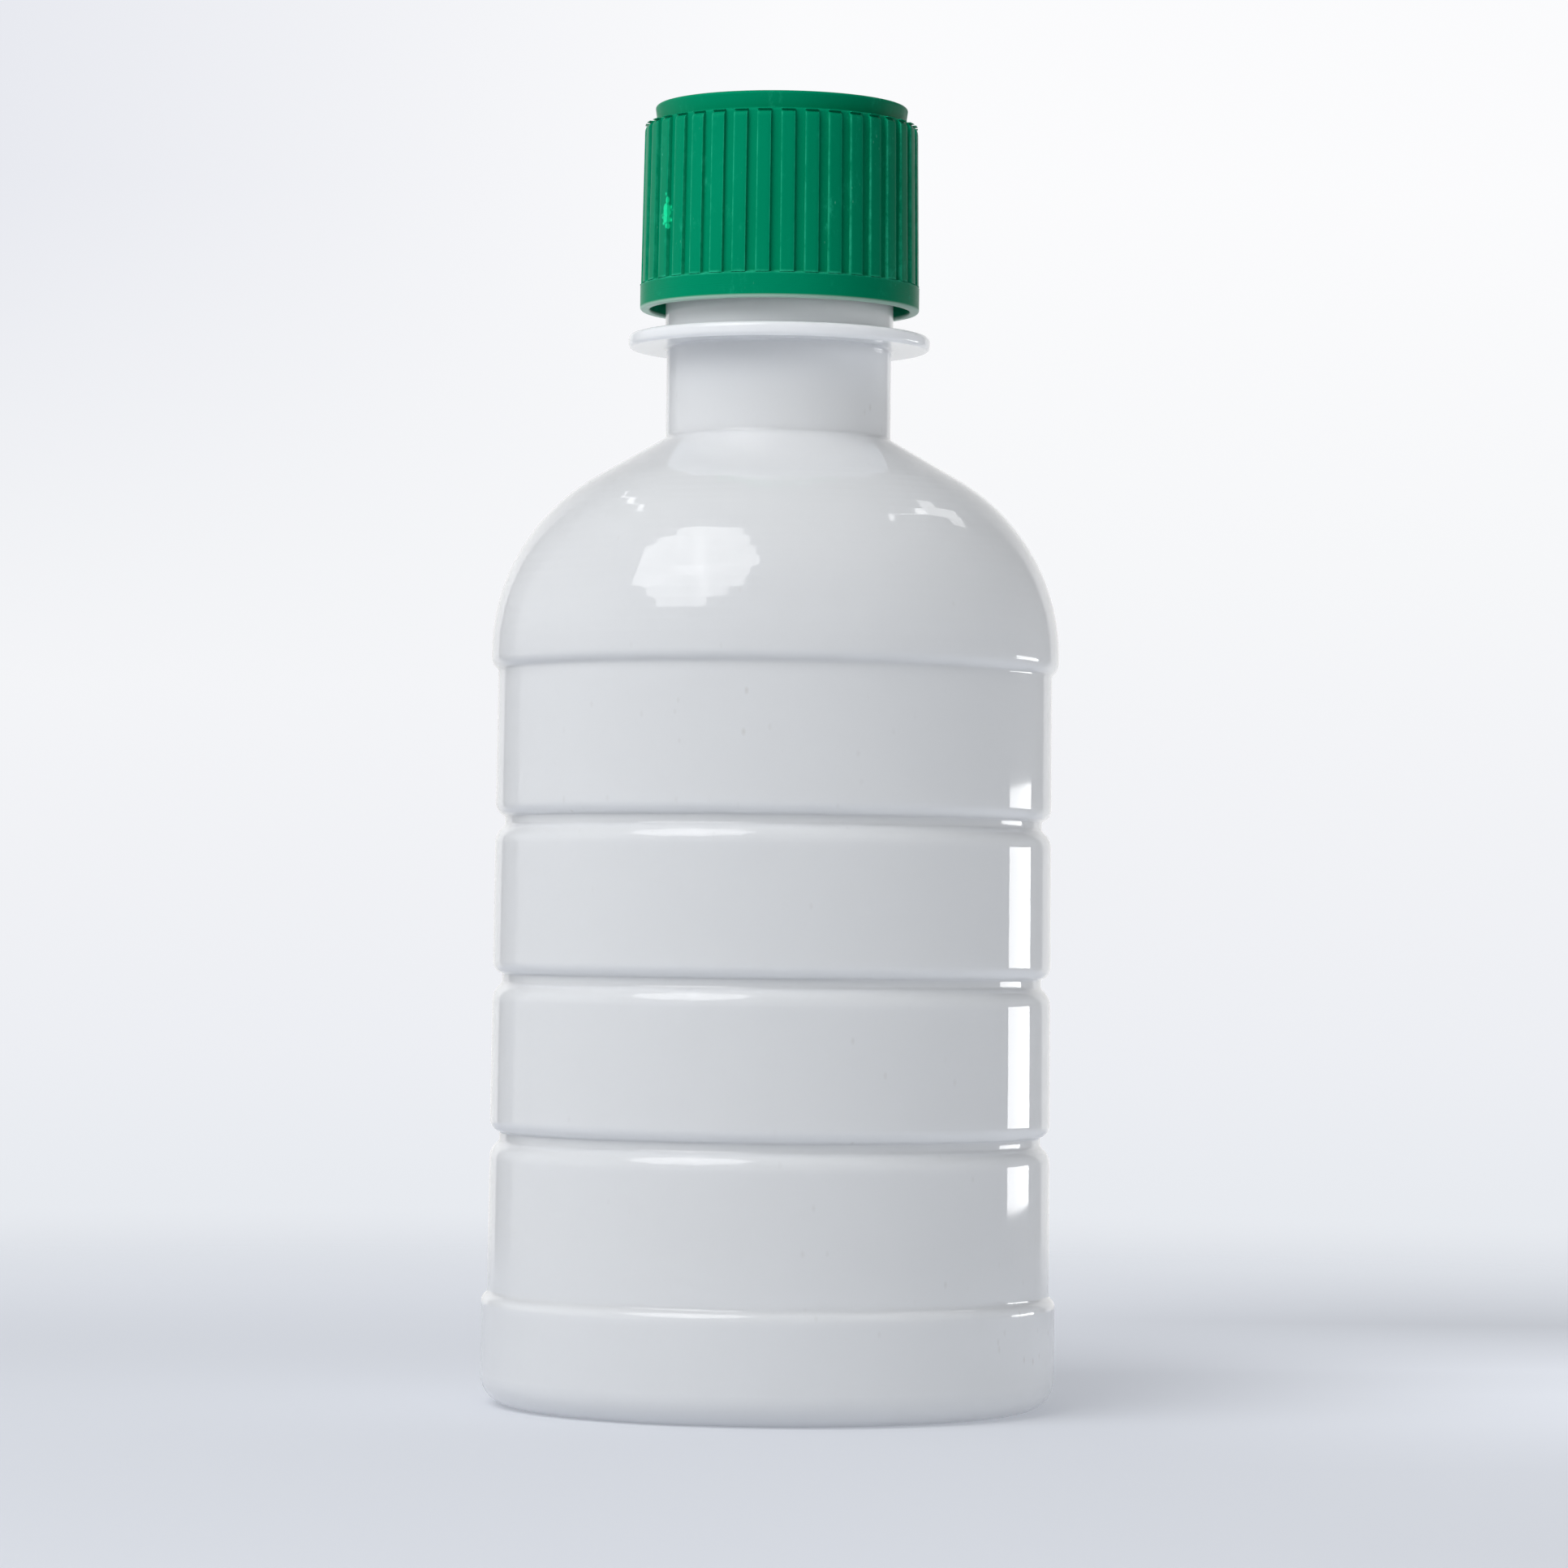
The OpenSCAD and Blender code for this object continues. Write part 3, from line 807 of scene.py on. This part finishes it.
# The chip's bright green is a painted highlight. Its relief and its lower roughness are real.
GREEN_CHIP_HIGHLIGHT = (0.01, 0.72, 0.33)
DUST = (0.12, 0.56, 0.39)
RIM_PAINTED_LIGHT = (0.42, 0.62, 0.52)
green, tree, shader, skin_node, marks_node = new_finish(
    "green_plastic", (1, 1, 0.5),
    {"Ripple": 160, "Grain": 3000}, {"Speck": 1250, "Scratch": 900, "Patch": 300})
coordinates = next(n for n in tree.nodes if n.bl_idname == "ShaderNodeTexCoord").outputs["Object"]
worn, rim, tooled = cap_wear_and_painted_light(tree, coordinates)
chip, chip_relief = chip_mask(tree, coordinates)
colour = mix_colours(tree, (-250, 400), skin_node.outputs["Ripple"], GREEN_DEEP, GREEN)
for i, (mask, paint) in enumerate((
        (marks_node.outputs["Haze"], GREEN_HAZE), (marks_node.outputs["Specks"], DUST),
        (marks_node.outputs["Scratches"], DUST),
        (worn, GREEN_WORN_AND_HIGHLIGHT), (rim, RIM_PAINTED_LIGHT), (chip, GREEN_CHIP_HIGHLIGHT))):
    colour = mix_colours(tree, (-50 + 150 * i, 400 + 100 * i), mask, colour, paint)
tree.links.new(colour, shader.inputs["Base Color"])
rough = add(tree, "ShaderNodeMapRange", (50, -50), {"To Min": 0.33, "To Max": 0.48})
glassy = add(tree, "ShaderNodeMapRange", (250, -50), {"To Min": 1.0, "To Max": 0.35})
tree.links.new(marks_node.outputs["Scuffs"], rough.inputs["Value"])
tree.links.new(chip, glassy.inputs["Value"])
tree.links.new(combine(tree, (450, -50), "MULTIPLY", rough.outputs["Result"], glassy.outputs["Result"]),
               shader.inputs["Roughness"])
shader.inputs["IOR"].default_value = 1.49
shader.inputs["Specular IOR Level"].default_value = 0.05
shader.inputs["Specular Tint"].default_value = (0.1, 1.0, 0.6, 1)
fine = combine(tree, (100, -400), "MULTIPLY", skin_node.outputs["Grain"], 0.15)
lined = combine(tree, (100, -550), "MULTIPLY", tooled, 0.35)
relief = combine(tree, (250, -450), "ADD", combine(tree, (180, -450), "ADD", fine, lined), chip_relief)
fit_bump(tree, shader, relief, 0.04)

# %% Foamed plastic of the sealing disc
foam, tree, shader, skin_node, marks_node = new_finish(
    "foamed_plastic", (1, 1, 1), {"Ripple": 300, "Grain": 1800}, {"Speck": 900, "Scratch": 100, "Patch": 150})
base = mix_colours(tree, (0, 300), skin_node.outputs["Ripple"], (0.80, 0.80, 0.76), (0.74, 0.74, 0.70))
tree.links.new(base, shader.inputs["Base Color"])
worn = add(tree, "ShaderNodeMapRange", (50, -50), {"To Min": 0.55, "To Max": 0.7})
tree.links.new(marks_node.outputs["Scuffs"], worn.inputs["Value"])
tree.links.new(worn.outputs["Result"], shader.inputs["Roughness"])
fit_bump(tree, shader, skin_node.outputs["Grain"], 0.05)


# %% [markdown]
# ## Putting the pieces in place
#
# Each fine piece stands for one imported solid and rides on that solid's body, so it turns and
# lifts with it. Nothing is moved: every mesh was drawn where it belongs.

# %% Dress and attach the pieces
for piece, material, node, slot in (
        (bottle, milky, "bottle", "bottle_white"),
        (cap, green, "cap", "cap_green"),
        (liner, foam, "liner", "liner_foam")):
    piece.data.materials.clear()
    piece.data.materials.append(material)
    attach(piece, node)
    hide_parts(node)
    print(piece.name, "stands for", node)

# %% [markdown]
# ## The table and the room
# The table also glows though it is no lamp. This is painted light, with a painted pool of light and a painted
# shadow of the bottle on its right.
#
# The bottle stands on a pale table that ends a little way behind it, and beyond that is a bright
# backdrop. The table is a disc whose edge fades away, so no view shows a hard edge or a horizon.
# The room is the world: the camera sees a plain pale backdrop, while the bottle's gloss mirrors
# the backdrop behind it and a dimmer room to the sides.

# %% The table
TABLE_R = 0.50
TABLE_SOLID = 0.14
TABLE_GONE = 0.44
deselect_all()
bpy.ops.mesh.primitive_circle_add(vertices=96, radius=TABLE_R, fill_type="NGON", location=(0, 0, 0))
table = bpy.context.object
table.name = "table"
table_with_painted_light = bpy.data.materials.new("table_with_painted_light")
table_with_painted_light.use_nodes = True
tree = table_with_painted_light.node_tree
tree.nodes.clear()
output = add(tree, "ShaderNodeOutputMaterial", (800, 0))
diffuse = add(tree, "ShaderNodeBsdfDiffuse", (200, 200), {"Color": (0.42, 0.435, 0.465, 1)})
# The glow is painted light. It is stronger towards the back, puts a painted pool of light on the right near
# the bottle, and leaves a painted shadow of the bottle further back on the right.
glow = add(tree, "ShaderNodeEmission", (200, 50), {"Color": (0.93, 0.96, 1.03, 1)})
place = add(tree, "ShaderNodeSeparateXYZ", (-900, 250))
painted_light_rightward = add(tree, "ShaderNodeMapRange", (-500, 450),
                {"From Min": 0.02, "From Max": 0.10, "To Max": 0.31}, interpolation_type="SMOOTHSTEP")
depth = add(tree, "ShaderNodeMapRange", (-700, 250), {"From Min": -0.16, "From Max": 0.26})
# The ramp can't go below 0, so it is raised by NO_CHANGE here and lowered by it afterwards
NO_CHANGE = 0.35
near = ramp(tree, (-550, 250), [
    (0.05, NO_CHANGE), (0.22, 0.50), (0.44, 1.0), (0.53, 1.0),
    (0.62, 0.60), (0.72, 0.10), (0.85, 0.20), (1.0, NO_CHANGE)])
painted_light_and_shadow_by_depth = add(tree, "ShaderNodeMath", (-350, 250), {1: NO_CHANGE}, operation="SUBTRACT")
painted_light_backward = add(tree, "ShaderNodeMapRange", (-500, 50),
               {"From Min": 0.04, "From Max": 0.22, "To Min": 0.305, "To Max": 0.40},
               interpolation_type="SMOOTHSTEP")
lighter = add(tree, "ShaderNodeMath", (-200, 250), operation="MULTIPLY_ADD")
lit = add(tree, "ShaderNodeAddShader", (350, 150))
gone = add(tree, "ShaderNodeBsdfTransparent", (200, -100))
fade = add(tree, "ShaderNodeMixShader", (500, 0))
coordinates = add(tree, "ShaderNodeTexCoord", (-800, 0))
distance = add(tree, "ShaderNodeVectorMath", (-600, 0), operation="LENGTH")
edge = add(tree, "ShaderNodeMapRange", (-300, 0),
           {"From Min": TABLE_SOLID, "From Max": TABLE_GONE}, interpolation_type="SMOOTHSTEP")
tree.links.new(coordinates.outputs["Object"], distance.inputs[0])
tree.links.new(distance.outputs["Value"], edge.inputs["Value"])
tree.links.new(coordinates.outputs["Object"], place.inputs["Vector"])
tree.links.new(place.outputs["X"], painted_light_rightward.inputs["Value"])
tree.links.new(place.outputs["Y"], depth.inputs["Value"])
tree.links.new(depth.outputs["Result"], near.inputs["Fac"])
tree.links.new(near.outputs["Color"], painted_light_and_shadow_by_depth.inputs[0])
tree.links.new(place.outputs["Y"], painted_light_backward.inputs["Value"])
for i, part in enumerate((painted_light_rightward, painted_light_and_shadow_by_depth, painted_light_backward)):
    tree.links.new(part.outputs[0], lighter.inputs[i])
tree.links.new(lighter.outputs[0], glow.inputs["Strength"])
tree.links.new(edge.outputs["Result"], fade.inputs["Fac"])
tree.links.new(diffuse.outputs["BSDF"], lit.inputs[0])
tree.links.new(glow.outputs["Emission"], lit.inputs[1])
tree.links.new(lit.outputs["Shader"], fade.inputs[1])
tree.links.new(gone.outputs["BSDF"], fade.inputs[2])
tree.links.new(fade.outputs["Shader"], output.inputs["Surface"])
table.data.materials.append(table_with_painted_light)

# %% The room and the backdrop
world = bpy.data.worlds.new("room")
bpy.context.scene.world = world
world.use_nodes = True
tree = world.node_tree
tree.nodes.clear()
output = add(tree, "ShaderNodeOutputWorld", (1000, 0))
seen = add(tree, "ShaderNodeBackground", (400, 300))
mirrored = add(tree, "ShaderNodeBackground", (400, 0))
felt = add(tree, "ShaderNodeBackground", (400, -300))
rays = add(tree, "ShaderNodeLightPath", (400, 600))
by_mirror = add(tree, "ShaderNodeMixShader", (620, -100))
by_camera = add(tree, "ShaderNodeMixShader", (820, 100))
tree.links.new(rays.outputs["Is Glossy Ray"], by_mirror.inputs["Fac"])
tree.links.new(felt.outputs["Background"], by_mirror.inputs[1])
tree.links.new(mirrored.outputs["Background"], by_mirror.inputs[2])
tree.links.new(rays.outputs["Is Camera Ray"], by_camera.inputs["Fac"])
tree.links.new(by_mirror.outputs["Shader"], by_camera.inputs[1])
tree.links.new(seen.outputs["Background"], by_camera.inputs[2])
tree.links.new(by_camera.outputs["Shader"], output.inputs["Surface"])

# %% Directions in the room
direction = add(tree, "ShaderNodeTexCoord", (-1300, 0))
split = add(tree, "ShaderNodeSeparateXYZ", (-1100, 0))
around = add(tree, "ShaderNodeMath", (-900, -200), operation="ARCTAN2")
share = add(tree, "ShaderNodeMapRange", (-700, -200), {"From Min": -math.pi, "From Max": math.pi})
tree.links.new(direction.outputs["Generated"], split.inputs["Vector"])
tree.links.new(split.outputs["X"], around.inputs[0])
tree.links.new(split.outputs["Y"], around.inputs[1])
tree.links.new(around.outputs[0], share.inputs["Value"])

# %% The backdrop that the camera sees: darker towards the table, and at the upper left
lift = add(tree, "ShaderNodeMapRange", (-400, 400), {"From Min": -0.09, "From Max": 0.13})
tree.links.new(split.outputs["Z"], lift.inputs["Value"])
backdrop = ramp(tree, (-150, 400), [
    (0.18, (0.80, 0.825, 0.868)), (0.31, (0.845, 0.86, 0.90)), (0.44, (0.872, 0.882, 0.915)),
    (0.57, (0.897, 0.905, 0.932)), (0.70, (0.922, 0.93, 0.948)), (1.0, (0.965, 0.967, 0.98))])
side = add(tree, "ShaderNodeMapRange", (-400, 650),
           {"From Min": -0.15, "From Max": 0.0, "To Min": 1.0, "To Max": 0.0})
upper = add(tree, "ShaderNodeMapRange", (-150, 650), {"From Min": 0.6, "From Max": 1.05})
corner = add(tree, "ShaderNodeMath", (0, 650), operation="MULTIPLY")
shaded = add(tree, "ShaderNodeMix", (200, 500), data_type="RGBA", blend_type="MULTIPLY")
shaded.inputs[7].default_value = (0.80, 0.815, 0.865, 1)
tree.links.new(lift.outputs["Result"], backdrop.inputs["Fac"])
tree.links.new(split.outputs["X"], side.inputs["Value"])
tree.links.new(lift.outputs["Result"], upper.inputs["Value"])
tree.links.new(side.outputs["Result"], corner.inputs[0])
tree.links.new(upper.outputs["Result"], corner.inputs[1])
tree.links.new(corner.outputs[0], shaded.inputs["Factor"])
tree.links.new(backdrop.outputs["Color"], shaded.inputs[6])
tree.links.new(shaded.outputs[2], seen.inputs["Color"])

# %% The room in mirror images: the backdrop, a dark gap beside it, and a dark ceiling
room = ramp(tree, (-400, 0), [
    (0.0, 0.40), (0.10, 0.60), (0.25, 0.85), (0.358, 0.85), (0.366, 0.50), (0.418, 0.40), (0.4225, 0.95),
    (0.583, 0.95), (0.588, 0.45), (0.65, 0.48), (0.71, 0.32), (1.0, 0.40)])
height = ramp(tree, (-400, -300), [(0.0, 1.0), (0.60, 1.0), (0.78, 0.15), (1.0, 0.1)])
upright = add(tree, "ShaderNodeMapRange", (-700, -500), {"From Min": -1.0, "From Max": 1.0})
dimmed = add(tree, "ShaderNodeMath", (0, 0), operation="MULTIPLY")
tree.links.new(share.outputs["Result"], room.inputs["Fac"])
tree.links.new(split.outputs["Z"], upright.inputs["Value"])
tree.links.new(upright.outputs["Result"], height.inputs["Fac"])
tree.links.new(room.outputs["Color"], dimmed.inputs[0])
tree.links.new(height.outputs["Color"], dimmed.inputs[1])
tree.links.new(dimmed.outputs[0], mirrored.inputs["Color"])

# %% The soft light from all round: least from the right
soft = ramp(tree, (-100, -300), [
    (0.0, (0.60, 0.61, 0.62)), (0.25, (0.50, 0.51, 0.525)), (0.5, (0.64, 0.65, 0.67)),
    (0.60, (0.60, 0.61, 0.63)), (0.68, (0.26, 0.27, 0.285)), (0.78, (0.08, 0.085, 0.09)),
    (0.90, (0.13, 0.135, 0.14)), (1.0, (0.60, 0.61, 0.62))])
tree.links.new(share.outputs["Result"], soft.inputs["Fac"])
tree.links.new(soft.outputs["Color"], felt.inputs["Color"])

# %% [markdown]
# ## Lamps
#
# The photograph shows its lamps as mirror images on the bottle: an octagonal soft box high on the
# left, and a low bright strip behind on the right. Each is made as a glowing card that shows in
# mirror images only, and the soft box's own light comes from a lamp in the same place. The strip is
# the exception: its glow also falls on things, because it brightens the bottle's right edge.

# %% Glowing cards
AIM = Vector((0, 0, 0.085))


def towards(azimuth_deg, elevation_deg, distance, aim=AIM):
    """A place seen from the aim: azimuth 0 is towards the camera and grows to the right."""
    azimuth = math.radians(azimuth_deg)
    elevation = math.radians(elevation_deg)
    level = math.cos(elevation)
    right, back, up = level * math.sin(azimuth), -level * math.cos(azimuth), math.sin(elevation)
    return aim + distance * Vector((right, back, up))


def face_aim(thing, aim=AIM, turn_deg=0):
    """Turns a lamp or card so that its local minus Z looks at the aim, and then about that line."""
    look_at = (aim - thing.location).to_track_quat("-Z", "Y").to_matrix().to_4x4()
    thing.rotation_euler = (look_at @ Matrix.Rotation(math.radians(turn_deg), 4, "Z")).to_euler()


def glowing_card(name, strength_of):
    """Gives the active card a light that only mirror images see."""
    card = bpy.context.object
    card.name = name
    glow = bpy.data.materials.new(name)
    glow.use_nodes = True
    tree = glow.node_tree
    tree.nodes.clear()
    output = add(tree, "ShaderNodeOutputMaterial", (600, 0))
    light = add(tree, "ShaderNodeEmission", (300, 0))
    tree.links.new(light.outputs["Emission"], output.inputs["Surface"])
    strength_of(tree, light)
    card.data.materials.append(glow)
    card.visible_camera = False
    card.visible_diffuse = False
    card.visible_shadow = False
    return card


# %% The octagonal soft box
SOFTBOX_DISTANCE = 0.7
SOFTBOX_R = 0.305
HOT_SPOT = (0.028, -0.046, 0)


def softbox_glow(tree, light):
    """Even, with a hot spot where the bulb is and four soft rays along the folds of its cloth."""
    coordinates = add(tree, "ShaderNodeTexCoord", (-1300, 0))
    offset = add(tree, "ShaderNodeVectorMath", (-1100, 0), {1: HOT_SPOT}, operation="SUBTRACT")
    distance = add(tree, "ShaderNodeVectorMath", (-900, 200), operation="LENGTH")
    size = add(tree, "ShaderNodeMapRange", (-700, 200), {"From Max": SOFTBOX_R})
    fall = ramp(tree, (-500, 200), [(0.0, 1.0), (0.10, 0.40), (0.6, 0.32), (1.0, 0.1)])
    sides = add(tree, "ShaderNodeSeparateXYZ", (-900, -100))
    rays = add(tree, "ShaderNodeMath", (-300, -100), operation="MAXIMUM")
    hot = add(tree, "ShaderNodeMath", (-100, 0), operation="MULTIPLY")
    strength = add(tree, "ShaderNodeMath", (100, 0), {1: 2.9, 2: 2.8}, operation="MULTIPLY_ADD")
    tree.links.new(coordinates.outputs["Object"], offset.inputs[0])
    tree.links.new(offset.outputs[0], distance.inputs[0])
    tree.links.new(distance.outputs["Value"], size.inputs["Value"])
    tree.links.new(size.outputs["Result"], fall.inputs["Fac"])
    tree.links.new(offset.outputs[0], sides.inputs["Vector"])
    for i, axis in enumerate("XY"):
        far = add(tree, "ShaderNodeMath", (-700, -100 - 150 * i), operation="ABSOLUTE")
        ray = add(tree, "ShaderNodeMapRange", (-500, -100 - 150 * i),
                  {"From Max": 0.045, "To Min": 1.0, "To Max": 0.0}, interpolation_type="SMOOTHSTEP")
        tree.links.new(sides.outputs[axis], far.inputs[0])
        tree.links.new(far.outputs[0], ray.inputs["Value"])
        tree.links.new(ray.outputs["Result"], rays.inputs[i])
    tree.links.new(fall.outputs["Color"], hot.inputs[0])
    tree.links.new(rays.outputs[0], hot.inputs[1])
    tree.links.new(hot.outputs[0], strength.inputs[0])
    tree.links.new(strength.outputs[0], light.inputs["Strength"])


deselect_all()
bpy.ops.mesh.primitive_circle_add(vertices=16, radius=SOFTBOX_R, fill_type="NGON",
                                  location=towards(-40.9, 43, SOFTBOX_DISTANCE))
softbox = glowing_card("soft_box", softbox_glow)
bpy.ops.object.mode_set(mode="EDIT")
select_where(softbox, "vertices", lambda v: v.index % 2)
bpy.ops.transform.resize(value=(0.89, 0.89, 1), center_override=softbox.location)
bpy.ops.object.mode_set(mode="OBJECT")
face_aim(softbox, turn_deg=25)

# %% The low strip behind on the right
STRIP_DISTANCE = 0.93
STRIP_Z = 0.040


def strip_glow(tree, light):
    """An even glow."""
    light.inputs["Strength"].default_value = 5.0


deselect_all()
bpy.ops.mesh.primitive_plane_add(size=1, location=towards(122, 0, STRIP_DISTANCE, Vector((0, 0, STRIP_Z))))
strip = glowing_card("strip_light", strip_glow)
strip.scale = (0.31, 0.114, 1)
strip.visible_diffuse = True
face_aim(strip, Vector((0, 0, STRIP_Z)))

# %% Three small lights high up behind, which the dome mirrors as short streaks
SMALL_DISTANCE = 0.9


def small_card(name, azimuth_deg, elevation_deg, width, height, turn_deg, strength):
    """A small even light on the far side."""
    def even_glow(tree, light):
        light.inputs["Strength"].default_value = strength

    deselect_all()
    bpy.ops.mesh.primitive_plane_add(size=1, location=towards(azimuth_deg, elevation_deg, SMALL_DISTANCE))
    card = glowing_card(name, even_glow)
    card.scale = (width, height, 1)
    face_aim(card, turn_deg=turn_deg)


small_card("left_tube", -126, 51.8, 0.33, 0.018, 29, 2.6)
small_card("right_panel", 128, 45.6, 0.11, 0.20, 12, 1.7)
small_card("right_tube", 112, 55.5, 0.33, 0.016, -34, 3.6)

# %% The lamp that lights the object
KEY_WATTS = 3.5
key_data = bpy.data.lights.new("key", "AREA")
key_data.shape = "DISK"
key_data.size = 2 * SOFTBOX_R
key_data.energy = KEY_WATTS
key = bpy.data.objects.new("key", key_data)
bpy.context.scene.collection.objects.link(key)
key.location = softbox.location
face_aim(key)
key.visible_glossy = False

# %% The glow of the bottle's side that is turned from the lamp
# In the photograph the bottle's right side is far lighter, beside the cap's, than the same lamps
# make it here. The cause is probably light that the milky plastic carries round inside its walls. A
# weak lamp on that side stands in for it, and by light linking it shines on the bottle alone.
GLOW_WATTS = 1.75
glow_data = bpy.data.lights.new("carried_light", "AREA")
glow_data.shape = "DISK"
glow_data.size = 0.6
glow_data.energy = GLOW_WATTS
carried = bpy.data.objects.new("carried_light", glow_data)
bpy.context.scene.collection.objects.link(carried)
carried.location = towards(66, 2, SOFTBOX_DISTANCE)
face_aim(carried)
carried.visible_glossy = False
glowing = bpy.data.collections.new("lit_by_carried_light")
glowing.objects.link(bottle)
carried.light_linking.receiver_collection = glowing

# %% [markdown]
# ## The camera
#
# The photograph was taken from about 0.62 m with a long lens, at a third of the bottle's height,
# so the camera looks up by one and a half degrees. It was also held a little askew, so the bottle
# leans to the right in the picture by two thirds of a degree.

# %% Camera
IMAGE_PX = 1932
FOCAL_PX = 6993
SENSOR_MM = 36
CAMERA_DISTANCE = 0.62
EYE_HEIGHT = 0.0516
CAMERA_X = 0.0011
PITCH_UP = math.radians(1.49)
ROLL = math.radians(0.68)

camera_data = bpy.data.cameras.new("camera")
camera_data.sensor_width = SENSOR_MM
camera_data.lens = FOCAL_PX * SENSOR_MM / IMAGE_PX
camera_data.clip_start = 0.01
camera_data.clip_end = 10
camera = bpy.data.objects.new("camera", camera_data)
bpy.context.scene.collection.objects.link(camera)
look = Matrix.Rotation(math.pi / 2 + PITCH_UP, 4, "X") @ Matrix.Rotation(ROLL, 4, "Z")
camera.matrix_world = Matrix.Translation((CAMERA_X, -CAMERA_DISTANCE, EYE_HEIGHT)) @ look
bpy.context.scene.camera = camera
print("lens", round(camera_data.lens, 1), "mm")

# %% Colours as they are
bpy.context.scene.view_settings.view_transform = "Standard"
